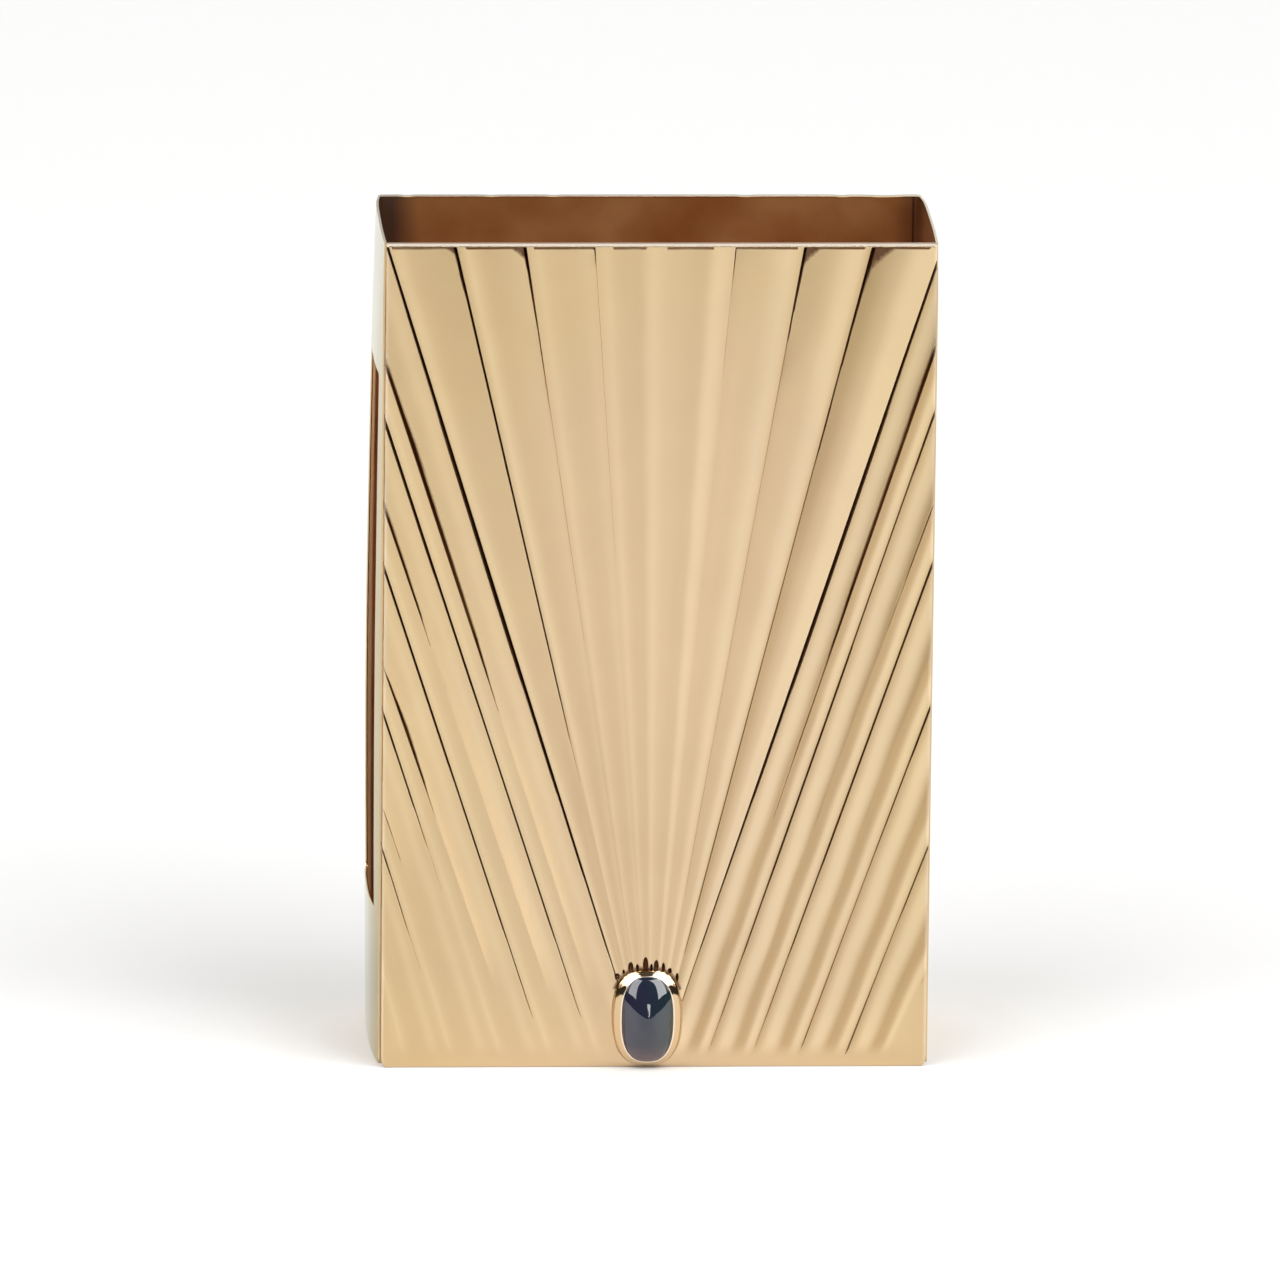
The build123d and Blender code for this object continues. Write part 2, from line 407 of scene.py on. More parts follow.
def edge_round(distance, radius):
    """How far the surface falls back near an edge that is rounded."""
    return radius - math.sqrt(radius**2 - max(0, radius - distance) ** 2)


def front_depth(point):
    """Depth of the front surface at a point, the rounded edges of the plate included."""
    return max(
        cut_depth(point.x, point.z),
        edge_round(max(0, height - point.z), top_radius),
        edge_round(max(0, point.z), foot_radius),
        edge_round(max(0, half_width - abs(point.x)), side_radius),
    )


# Stop cuts: painted shade inside and at the mouth, and reach. Painted shadow line above the seat:
# darkness, place as a share of the seat's size, fade and heights
stop_dark, stop_pale, stop_reach = 0.78, 0.56, 1.05
seat_dark, seat_line, seat_fade, seat_span = 0.75, 1.02, 6, (5.6, 8)
# Width of a fully dark line, least width to fade over, and height and blur of the painted shadow
# line at the rim
full_width, least_width, rim_line, rim_blur = 0.1, 0.08, 0.17, 0.25
# Painted shade in the corners below the rim: roundness, darkness and blur
corner_power, corner_dark, corner_blur = 0.85, 0.72, 2.5


def engraved(point):
    """How far a point is inside a line: 1 in its middle, a half at its edge, 0 well outside.
    It also holds painted shade in the stop cuts, above the seat, under the rim and beside it.
    """
    x, z = point.x, point.z
    # Painted shade in the stop cuts
    for cut_x, cut_z, wide, high in stop_cuts:
        if math.hypot((x - cut_x) / wide, (z - cut_z) / high) < stop_reach:
            return stop_dark if point.y > front_y + 0.1 else stop_pale
    dark = 0
    # A painted shadow line round the top of the seat
    if seat_span[0] < z < seat_span[1]:
        across, along = abs(x - stone_x) / collet_foot[0], abs(z - stone_z) / collet_foot[1]
        oval = (across**fullness + along**fullness) ** (1 / fullness)
        dark = max(0, seat_dark - abs(oval - seat_line) * seat_fade)
    one, to_outer, to_inner = cut_at(x, z)
    if not one or z > rim_z + tolerance:
        return dark
    groove, step = (between(one[line], z) * ramp(z, 0.3, 1.5) for line in ("groove", "step"))
    for width, distance in ((groove, to_inner), (step, abs(to_outer - step * 0.5))):
        if width > 1e-3:
            fade = 1 - distance / max(width, least_width) / 2
            dark = max(dark, min(1, width / full_width) * fade)
    # A painted shadow line under the rim, and painted shade in the corner beside it
    if one["ray"]:
        under_rim = max(0, rim_z - z)
        dark = max(dark, 0.5 + (rim_line - under_rim) / rim_blur * one["shadow"])
        wide, high = one["corner"]
        reach = (to_inner / wide) ** corner_power + (under_rim / high) ** corner_power
        dark = max(dark, min(corner_dark, 0.5 + corner_blur * (1 - reach)))
    return dark


# %% [markdown]
# A flute's flank rolls over slowly, and a mirror that rolls over sweeps across the room: the side
# that faces a pale wall is light, the next side is in shade. The floor and the lights here are more
# even than a room, so the finish gets some help: a tone from 0 in the deepest shade to 1 on the
# brightest roll. It is listed across each flute, from one groove to the next, as pairs of share and
# tone that run back from the second groove.

# %% Light and shade across a flute
fan_grooves = [ray(top_x) for top_x in (-19.35, -14.55, -9.62, -4.75, 0, 5.2, 10.05, 14.85)]
fan_grooves.append(right_edges[0])
fan_tones = (
    ((1, 0.4), (0.4, 0.42), (0.25, 0.52), (0.12, 0.8), (0.05, 0.72), (0, 0.55)),
    (
        (1, 0.4), (0.92, 0.6), (0.75, 0.5), (0.5, 0.4), (0.35, 0.42), (0.22, 0.65), (0.13, 0.85),
        (0, 0.3),
    ),
    ((1, 0.55), (0.88, 0.64), (0.72, 0.5), (0.5, 0.44), (0.3, 0.53), (0.15, 0.72), (0, 0.45)),
    (
        (1, 0.72), (0.88, 0.82), (0.78, 0.7), (0.66, 0.5), (0.4, 0.47), (0.27, 0.58), (0.17, 0.75),
        (0, 0.55),
    ),
    (
        (1, 0.58), (0.9, 0.82), (0.8, 0.9), (0.73, 0.83), (0.62, 0.55), (0.4, 0.5), (0.15, 0.58),
        (0, 0.68),
    ),
    ((1, 0.4), (0.92, 0.75), (0.8, 0.95), (0.66, 0.83), (0.5, 0.58), (0.35, 0.47), (0, 0.5)),
    (
        (1, 0.1), (0.93, 0.65), (0.87, 0.9), (0.75, 0.97), (0.62, 0.85), (0.5, 0.6), (0.35, 0.45),
        (0, 0.33),
    ),
    ((1, 0.9), (0.7, 0.97), (0.6, 0.85), (0.5, 0.6), (0.4, 0.5), (0.28, 0.3), (0.18, 0.1), (0, 0)),
)
left_tones = (
    (1, 0.6), (0.96, 0.65), (0.9, 0.85), (0.83, 0.65), (0.7, 0.5), (0.45, 0.5), (0.27, 0.75),
    (0.2, 0.7), (0.1, 0.55), (0, 0.6),
)
right_tones = (
    (1, 0), (0.95, 0.75), (0.88, 0.9), (0.82, 0.85), (0.74, 0.15), (0.67, 0), (0.56, 0),
    (0.43, 0.8), (0.37, 0.95), (0.23, 0.95), (0.1, 0.3), (0, -0.1),
)
flutes = list(zip(fan_grooves, fan_grooves[1:], fan_tones))
for edges, tones in ((left_edges, left_tones), (right_edges, right_tones)):
    flutes += [(first, second, tones) for first, second in zip(edges, edges[1:])]
unsteadiness = 0.012


def tone_at(point):
    """Light or shade of the front at a point, with the small waver of work done by hand."""
    for n, (first, second, tones) in enumerate(flutes):
        first_x, second_x = x_on(first, point.z), x_on(second, point.z)
        share = (point.x - first_x) / (second_x - first_x or 1)
        if -tolerance <= share <= 1 + tolerance:
            waver = unsteadiness * math.sin(point.z * 0.9 + n * 2) * math.sin(math.pi * share)
            fade = ramp(point.z, 0.6, 2) if point.z < 30 else 1 - ramp(point.z, rim_z - 0.1, rim_z)
            return 0.5 + (between(tones, share + waver) - 0.5) * fade
    return 0.5


# %% [markdown]
# To make the plate, start from a flat sheet and cut it along every line of the flutes, so that the
# mesh runs with them. Level cuts follow, closer together at the rim and the foot where the flutes
# end. The sheet is then pressed into relief, its border is pulled back to the plate's thickness and
# the rear is closed with one face.

# %% The sheet, cut along the flutes
start()
bpy.ops.mesh.primitive_plane_add(
    size=1, location=(0, front_y * mm, height / 2 * mm), rotation=(math.pi / 2, 0, 0)
)
bpy.context.object.scale = (half_width * 2 * mm, height * mm, 1)
front = take(named("front_plate"), "EDIT")
groove_offsets = (-0.02, 0, 0.03, 0.08, 0.13, 0.18, 0.24, 0.32)
step_offsets = (-0.02, 0, 0.03, 0.08, 0.14, 0.2, 0.28)
flute_shares = (
    0.05, 0.1, 0.15, 0.2, 0.25, 0.3, 0.37, 0.43, 0.5, 0.56,
    0.62, 0.67, 0.71, 0.75, 0.79, 0.83, 0.88, 0.92, 0.96,
)
side_insets = (0.01, 0.03, 0.07, 0.15, 0.24, 0.32)
# Level cuts near the foot, above the stone, below the rim and below the top
foot_levels = [0.01, 0.04, 0.1, 0.3, 0.5, 0.75, 1.3, 1.6, 2.4]
stone_levels = [5 + 0.15 * n for n in range(1, 25) if n % 20]
rim_insets = (-0.01, 0, 0.04, 0.08, 0.12, 0.18, 0.25, 0.4, 0.6, 1.4, 1.8)
top_insets = (0.01, 0.025, 0.05)
weld, sliver = 0.004, 0.002
lines = []
for one in cuts:
    way = math.copysign(1, x_on(one["outer"], height) - x_on(one["inner"], height))
    inner_offsets = (0,) if one["groove"] is none else groove_offsets
    outer_offsets = (0,) if one["step"] is none else step_offsets
    lines += [beside(one["inner"], way * offset) for offset in inner_offsets]
    lines += [beside(one["outer"], -way * offset) for offset in outer_offsets]
for first, second, _ in flutes:
    for share in flute_shares:
        lines.append(tuple(a + (b - a) * share for a, b in zip(first, second)))
for inset in side_insets:
    lines += [(half_width - inset, 0), (inset - half_width, 0)]
for base, slope in lines:
    cut(front, (base, front_y, 0), (1, 0, -slope))
levels = [height * n / 60 for n in range(1, 60)] + foot_levels
levels += [rim_z - inset for inset in rim_insets] + [height - inset for inset in top_insets]
for z in levels + stone_levels:
    cut(front, (0, front_y, z), (0, 0, 1))
bpy.ops.mesh.select_all(action="SELECT")
bpy.ops.mesh.remove_doubles(threshold=weld * mm)
bpy.ops.mesh.dissolve_degenerate(threshold=sliver * mm)
start()
print("front sheet:", len(front.data.polygons), "faces along", len(lines), "lines")

# %% Relief and thickness
worn_wide, worn_high = 0.32, 0.9


def corner_lift(point):
    """How far the two lower corners of the plate are worn away, measured upwards."""
    across = min(1, max(0, half_width - abs(point.x)) / worn_wide)
    return worn_high * (1 - math.sqrt(across * (2 - across))) * max(0, 1 - point.z / 4)


press(front, Y=front_depth, Z=corner_lift)
take(front, "EDIT")
bpy.ops.mesh.select_mode(type="EDGE")
bpy.ops.mesh.select_all(action="SELECT")
bpy.ops.mesh.region_to_loop()
extrude((wall_front_y - front_y) * mm)
scene.tool_settings.transform_pivot_point = "MEDIAN_POINT"
bpy.ops.transform.resize(value=(1, 0, 1), center_override=(0, wall_front_y * mm, 0))
bpy.ops.mesh.edge_face_add()
bpy.ops.mesh.select_all(action="SELECT")
bpy.ops.mesh.normals_make_consistent(inside=False)
start()

# %% [markdown]
# The setting stands in a shallow seat, and where the rays end above it the graver left small stop
# cuts. Both are cut with the Boolean modifier. The stone is fuller than an ellipse, with long sides
# that are nearly straight. So the seat, the collet and the stone are each made as an oval and then
# filled out towards the corners by one rule, which keeps their width and height.

# %% Seat and stop cuts
seat_depth, seat_clearance, stop_depth = 0.4, 0.02, 0.36


def oval_rod(name, centre_y, length, half_wide, half_high):
    """A rod with an oval section round the stone's axis, which runs along Y."""
    start()
    place = (stone_x * mm, centre_y * mm, stone_z * mm)
    bpy.ops.mesh.primitive_cylinder_add(
        vertices=96, radius=1, depth=length * mm, location=place, rotation=(math.pi / 2, 0, 0)
    )
    bpy.context.object.scale = (half_wide * mm, half_high * mm, 1)
    return named(name)


def fill_out(piece, half_wide, half_high):
    """Fills an oval piece out towards its corners."""

    def growth(point):
        across, along = abs(point.x - stone_x) / half_wide, abs(point.z - stone_z) / half_high
        spread = math.hypot(across, along)
        return spread and spread / (across**fullness + along**fullness) ** (1 / fullness) - 1

    press(
        piece,
        X=lambda point: (point.x - stone_x) * growth(point),
        Z=lambda point: (point.z - stone_z) * growth(point),
    )
    return piece


seat_size = [side + seat_clearance for side in collet_foot]
subtract(front, fill_out(oval_rod("seat", front_y, seat_depth * 2, *seat_size), *seat_size))
for x, z, wide, high in stop_cuts:
    start()
    bpy.ops.mesh.primitive_uv_sphere_add(
        segments=16, ring_count=10, radius=1, location=(x * mm, (front_y - 0.05) * mm, z * mm)
    )
    bpy.context.object.scale = (wide * mm, stop_depth * mm, high * mm)
    subtract(front, named("stop cut"))
for name, rule in (("engraved", engraved), ("tone", tone_at)):
    values = front.data.attributes.new(name, "FLOAT", "POINT")
    values.data.foreach_set("value", [rule(vertex.co / mm) for vertex in front.data.vertices])
smooth(front, 30)
print("front plate with its seat:", len(front.data.polygons), "faces")

# %% [markdown]
# ## The plain plates
#
# The back plate is a flat sheet with rounded rear corners. A box gets them from a bevel of its two
# rear upright edges. Years of use left small dents in its top edge, so the top is cut into short
# lengths and pressed down a little here and there.

# %% Back plate
back_corner, softness = 0.4, 0.04
# The last cuts, close to an edge, keep the shading of the wide faces flat
beside_edge = 0.07


def rear_upright(edge):
    """Says whether an edge of the box stands upright at the rear."""
    first, second = (vertex.co / mm for vertex in edge.verts)
    return min(first.y, second.y) > back_y - 0.01 and abs(first.z - second.z) > height / 2


back = block("back_plate", (-half_width, wall_back_y, 0), (half_width, back_y, height))
take(back, "EDIT")
pick(back, "EDGE", rear_upright)
bpy.ops.mesh.bevel(offset=back_corner * mm, segments=6)
for n in range(1, 120):
    cut(back, (half_width * (n / 60 - 1), 0, 0), (1, 0, 0))
for z in (0.3, 20, 40, 58, 59, 59.6):
    cut(back, (0, 0, z), (0, 0, 1))
soften_edges(back, softness)
take(back, "EDIT")
for z in (beside_edge, height - beside_edge):
    cut(back, (0, 0, z), (0, 0, 1))
# Where the top edge is worn: x, how wide and how deep
rim_dents = (
    (-17.4, 0.3, 0.06), (-11.4, 0.4, 0.04), (-6.9, 0.3, 0.05), (6.9, 0.5, 0.05), (13.8, 0.4, 0.06),
    (16.8, 1.2, 0.06),
)


def rim_wear(point):
    """How far the worn top edge is pressed down."""
    if point.z < height - 0.2:
        return 0
    return -sum(deep * math.exp(-(((point.x - x) / wide) ** 2)) for x, wide, deep in rim_dents)


press(back, Z=rim_wear)
smooth(back)

# %% [markdown]
# The side walls are thin sheets that years of handling have bowed outwards. Each starts as a flat
# strip. The window is cut with a box whose four corners are rounded, the edges are softened, the
# strip is cut into rows and columns, and last it is pressed into its bow. Bending last keeps the
# window cut simple, and the rows and columns give the bend enough vertices to look smooth.

# %% Side walls
side_thickness, front_offset = 0.18, 0.19
window_sill, window_head, window_post, window_corner = 11, 10, 2.15, 0.4
columns, fullest_y = 24, 1.2
# How far each wall bows out, as pairs of height and distance
left_bows = (
    (60, 0.26), (58.7, 0.32), (56.8, 0.37), (53.3, 0.48), (49.5, 0.58), (45.5, 0.67), (41.8, 0.74),
    (38, 0.8), (34.4, 0.85), (30.7, 0.9), (23.3, 0.92), (16, 0.87), (11.5, 0.8), (8, 0.76),
    (5, 0.73), (1.7, 0.69), (0, 0.64),
)
right_bows = ((60, 0.24), (40, 0.32), (20, 0.36), (0, 0.3))


def bow_share(y):
    """1 where a wall is fullest, a little behind the middle, and 0 at the plates that hold it."""
    reach = y - fullest_y
    if reach < 0:
        return max(0, 1 - (reach / (wall_front_y - fullest_y)) ** 2.4)
    return max(0, 1 - (reach / (wall_back_y - fullest_y)) ** 5)


def bow_at(bows, point):
    """How far a wall stands out at a point; its front edge stands a little proud of the plate."""
    share, proud = bow_share(point.y), 0
    if point.y < fullest_y:
        proud = front_offset * (1 - share) * (1 - ramp(point.z, height - 4, height) * 0.3)
    return between(bows, point.z) * share + proud


def cut_columns(piece):
    """Cuts a piece that spans from the front plate to the back plate into even columns."""
    for n in range(1, columns):
        y = wall_front_y + (wall_back_y - wall_front_y) * n / columns
        cut(piece, (0, y, 0), (0, 1, 0))


def side_wall(name, way, bows):
    """A thin wall on the left (-1) or right (1) side, with its window and its bow."""
    inner, outer = sorted((way * half_width, way * (half_width - side_thickness)))
    wall = block(name, (inner, wall_front_y, 0), (outer, wall_back_y, height))
    window = block(
        "window",
        (inner - 1, wall_front_y + window_post, window_sill),
        (outer + 1, wall_back_y - window_post, height - window_head),
    )
    take(window, "EDIT")
    pick(window, "EDGE", lambda edge: abs(edge.verts[0].co.x - edge.verts[1].co.x) > mm)
    bpy.ops.mesh.bevel(offset=window_corner * mm, segments=6)
    subtract(wall, window)
    soften_edges(wall, softness)
    take(wall, "EDIT")
    cut_columns(wall)
    for n in range(1, 30):
        cut(wall, (0, 0, height * n / 30), (0, 0, 1))
    for edge, way_off in ((wall_front_y, 1), (wall_back_y, -1)):
        for inset in (beside_edge, window_post - beside_edge):
            cut(wall, (0, edge + way_off * inset, 0), (0, 1, 0))
    for z in (beside_edge, window_sill - beside_edge):
        cut(wall, (0, 0, z), (0, 0, 1))
    for inset in (window_head - beside_edge, beside_edge):
        cut(wall, (0, 0, height - inset), (0, 0, 1))
    press(wall, X=lambda point: way * bow_at(bows, point))
    smooth(wall)
    return wall


left_wall = side_wall("left_wall", -1, left_bows)
right_wall = side_wall("right_wall", 1, right_bows)

# %% [markdown]
# The closed end is a plate let in between the walls. Its two short sides follow the bows.

# %% Foot plate
foot_plate = block(
    "foot_plate",
    (side_thickness - half_width, wall_front_y, 0),
    (half_width - side_thickness, wall_back_y, base_thickness),
)
take(foot_plate, "EDIT")
cut_columns(foot_plate)
soften_edges(foot_plate, softness)
press(
    foot_plate,
    X=lambda point: -bow_at(left_bows, point) if point.x < 0 else bow_at(right_bows, point),
)
smooth(foot_plate)

# %% [markdown]
# ## The stone and its setting
#
# A collet is a collar whose thin lip is rubbed down over the stone. Its section is a low quarter
# round that ends in the lip. Starting from an oval rod that fills the seat, the front face is
# pushed out and narrowed row by row along that section, then pushed back in to hollow the collar.
# The open ends are bridged, so the collar is a closed ring.

# %% Collet
collet_height, bearer_height = 0.8, 0.15
girdle = (1.94, 3.27)
girdle_y, girdle_thickness, dome_height = front_y - bearer_height, 0.2, 1.42
dome_share = (collet_height - bearer_height - girdle_thickness) / dome_height
stone_play, lip_depth = 0.02, 0.3
opening = tuple(side * math.sqrt(1 - dome_share**2) + stone_play for side in girdle)
seat_y = front_y + seat_depth
stone_axis = Vector((stone_x, 0, stone_z)) * mm
# Height as a share of the collet's, and width from 0 at the opening to 1 at the foot
collet_rows = (
    (0.3, 0.98), (0.5, 0.9), (0.64, 0.78), (0.74, 0.63), (0.82, 0.46), (0.89, 0.29), (0.95, 0.14),
    (1.0, 0.05), (1.0, -0.01), (0.95, -0.05),
)


def push(now, wanted, out):
    """Extrudes the picked oval face out of the plate, and gives it a new pair of half sizes."""
    extrude(-out * mm)
    bpy.ops.transform.resize(
        value=(wanted[0] / now[0], 1, wanted[1] / now[1]), center_override=stone_axis
    )
    return wanted


collet = take(oval_rod("collet", (front_y + seat_y) / 2, seat_depth, *collet_foot), "EDIT")
pick(collet, "FACE", lambda face: face.normal.y < -0.9)
size_now, reached = collet_foot, 0
for up_share, out_share in collet_rows:
    wanted = tuple(a + (b - a) * out_share for a, b in zip(opening, collet_foot))
    size_now = push(size_now, wanted, (up_share - reached) * collet_height)
    reached = up_share
size_now = push(size_now, tuple(side + stone_play for side in girdle), -lip_depth)
push(size_now, size_now, lip_depth - reached * collet_height - seat_depth)
bpy.ops.mesh.delete(type="FACE")
pick(collet, "FACE", lambda face: len(face.verts) > 4)
bpy.ops.mesh.delete(type="FACE")
pick(collet, "EDGE", lambda edge: edge.is_boundary)
bpy.ops.mesh.bridge_edge_loops()
bpy.ops.mesh.select_all(action="SELECT")
bpy.ops.mesh.normals_make_consistent(inside=False)
smooth(fill_out(collet, *girdle), 50)
print("collet:", len(collet.data.polygons), "faces")

# %% [markdown]
# The stone is a cabochon: a smooth dome with no facets. A ball is scaled to the dome, cut flat at
# the girdle, and given the girdle's straight edge by one extrusion. The dome's highest point lies a
# little below the middle, so its upper part leans back and mirrors more of the lights.

# %% Cabochon
start()
dome_place = (stone_x * mm, (girdle_y - girdle_thickness) * mm, stone_z * mm)
bpy.ops.mesh.primitive_uv_sphere_add(
    segments=96, ring_count=64, radius=1, location=dome_place, rotation=(math.pi / 2, 0, 0)
)
bpy.context.object.scale = (girdle[0] * mm, girdle[1] * mm, dome_height * mm)
stone = take(named("stone"), "EDIT")
bpy.ops.mesh.select_all(action="SELECT")
bpy.ops.mesh.bisect(
    plane_co=dome_place, plane_no=(0, 1, 0), threshold=1e-8, clear_outer=True, use_fill=True
)
pick(stone, "FACE", lambda face: face.normal.y > 0.9)
extrude(girdle_thickness * mm)
soften_edges(stone, 0.05)
fill_out(stone, *girdle)
dome_lean = 0.09


def lean_back(point):
    """How far the dome is pressed back at a point, nothing at its edge."""
    across, along = (point.x - stone_x) / girdle[0], (point.z - stone_z) / girdle[1]
    return dome_lean * (point.z - stone_z) * max(0, 1 - across**2 - along**2)


press(stone, Y=lean_back)
smooth(stone, 50)
print("stone:", len(stone.data.polygons), "faces")

# %% [markdown]
# ## Finishes
#
# A finish is a node tree. Maths on its values is written as Python expressions: Wire holds an
# output socket, and each operator on it adds a Math node. Every other node comes from add.


# %% Shader maths
class Wire:
    """An output socket of a finish that Python's operators can use."""

    def __init__(self, finish, socket):
        self.finish, self.socket = finish, socket

    def maths(self, operation, first, second):
        """A Math node on two values, of which at least one is a Wire."""
        return self.finish.add("ShaderNodeMath", {"operation": operation}, {0: first, 1: second})

    def __add__(self, other):
        return self.maths("ADD", self, other)

    def __sub__(self, other):
        return self.maths("SUBTRACT", self, other)

    def __rsub__(self, other):
        return self.maths("SUBTRACT", other, self)

    def __mul__(self, other):
        return self.maths("MULTIPLY", self, other)

    __radd__, __rmul__ = __add__, __mul__

    def __truediv__(self, other):
        return self.maths("DIVIDE", self, other)

    def __pow__(self, other):
        return self.maths("POWER", self, other)

    def clamped(self):
        """The value, kept between 0 and 1."""
        return self.maths("MINIMUM", self.maths("MAXIMUM", self, 0.0), 1.0)

    def size(self):
        """The value without its sign."""
        return self.maths("ABSOLUTE", self, 0.0)


class Finish:
    """A material and its node tree."""

    def __init__(self, name, **constants):
        self.material = bpy.data.materials.new(name)
        self.material.use_nodes = True
        self.tree = self.material.node_tree
        self.shader = self.tree.nodes["Principled BSDF"]
        for socket, value in constants.items():
            self.shader.inputs[socket.replace("_", " ")].default_value = value

    def add(self, kind, settings=None, sockets=None, output=0):
        """One node: its settings first, then the values or links of its sockets."""
        node = self.tree.nodes.new(kind)
        for name, value in (settings or {}).items():
            if name == "stops":
                elements = node.color_ramp.elements
                while len(elements) < len(value):
                    elements.new(0.5)
                for element, (place, colour) in zip(elements, value):
                    element.position, element.color = place, (*colour, 1)
            else:
                setattr(node, name, value)
        for name, value in (sockets or {}).items():
            self.set(node.inputs[name], value)
        return Wire(self, node.outputs[output])

    def set(self, socket, value):
        """Links a Wire to a socket, or gives the socket a plain value."""
        if isinstance(value, Wire):
            self.tree.links.new(value.socket, socket)
        else:
            socket.default_value = value

    def blend(self, amount, first, second, how="MIX"):
        """Colour between two colours, or with MULTIPLY the first one tinted by the second."""
        settings = {"data_type": "RGBA", "blend_type": how}
        return self.add("ShaderNodeMix", settings, {0: amount, 6: first, 7: second}, output=2)

    def spot(self):
        """Object coordinates."""
        return self.add("ShaderNodeTexCoord", output=3)

    def axes(self):
        """The three Object coordinates, each as a Wire, in metres."""
        apart = self.add("ShaderNodeSeparateXYZ", None, {0: self.spot()})
        return [Wire(self, out) for out in apart.socket.node.outputs]

    def noise(self, scale, detail=2.0, roughness=0.5, stretch=(1, 1, 1), turn=(0, 0, 0)):
        """Noise between 0 and 1 in Object coordinates, which can be stretched and turned."""
        sockets = {"Vector": self.spot(), "Scale": stretch, "Rotation": turn}
        sockets = {"Vector": self.add("ShaderNodeMapping", None, sockets), "Scale": scale}
        sockets.update(Detail=detail, Roughness=roughness)
        return self.add("ShaderNodeTexNoise", None, sockets)

    def mesh_value(self, name):
        """A value that the mesh carries at each vertex."""
        return self.add("ShaderNodeAttribute", {"attribute_name": name}, output=2)

    def bump(self, height_wire, distance):
        """A normal from a height, for the shader's Normal."""
        sockets = {"Height": height_wire, "Distance": distance, "Strength": 1.0}
        return self.add("ShaderNodeBump", None, sockets)

    def shade(self, **sockets):
        """Feeds the shader's sockets."""
        for name, value in sockets.items():
            self.set(self.shader.inputs[name.replace("_", " ")], value)
        return self.material


# %% [markdown]
# Polished gold is nearly a mirror, so most of its look comes from what stands round it. The finish
# adds what a real polish has: a faint mottling between pinker and yellower gold, a surface that is
# not quite even, hair-fine scratches, dirt in the engraved lines, where polish can't reach, and
# rubbed, paler edges. It also paints light and shade: painted shade in the engraved lines with
# the dirt, a painted highlight along the top edges, painted shade on the plain plates' rim, on the
# back of the front's rim and along the foot, and painted shade and highlights on the collet.

# %% Polished gold
shade_gold, light_gold = (0.495, 0.349, 0.182, 1), (0.745, 0.581, 0.36, 1)
pinker, yellower = (1.015, 0.998, 1.055, 1), (1.005, 0.985, 0.94, 1)
# Rubbed edges, pale from wear and a painted highlight, the rim of the plain plates and the foot,
# both in painted shade, and what the plain plates mirror edge-on
worn_and_highlight_gold, rim_shade_gold = (0.87, 0.77, 0.66, 1), (0.36, 0.3, 0.29, 1)
foot_shade, edge_tint = (0.5, 0.4, 0.37, 1), (0.85, 0.87, 0.8, 1)
# Dirt and painted shade in the lines, and painted shade in the corners, below the collet's lip
# and on the back of the front's rim
line_dirt_and_shade, corner_shade_and_dirt = (0.09, 0.028, 0.002, 1), (0.125, 0.06, 0.028, 1)
shoulder_shade, rim_back_shade = (0.22, 0.15, 0.09, 1), (0.15, 0.1, 0.07, 1)


def rise(value, start_at, length):
    """0 up to a place, then a rise to 1 over a length, both in millimetres."""
    return ((value - start_at * mm) / (length * mm)).clamped()


def fall(value, end_at, length):
    """A fall from 1 over a length, and 0 from a place on, both in millimetres."""
    return ((end_at * mm - value) / (length * mm)).clamped()


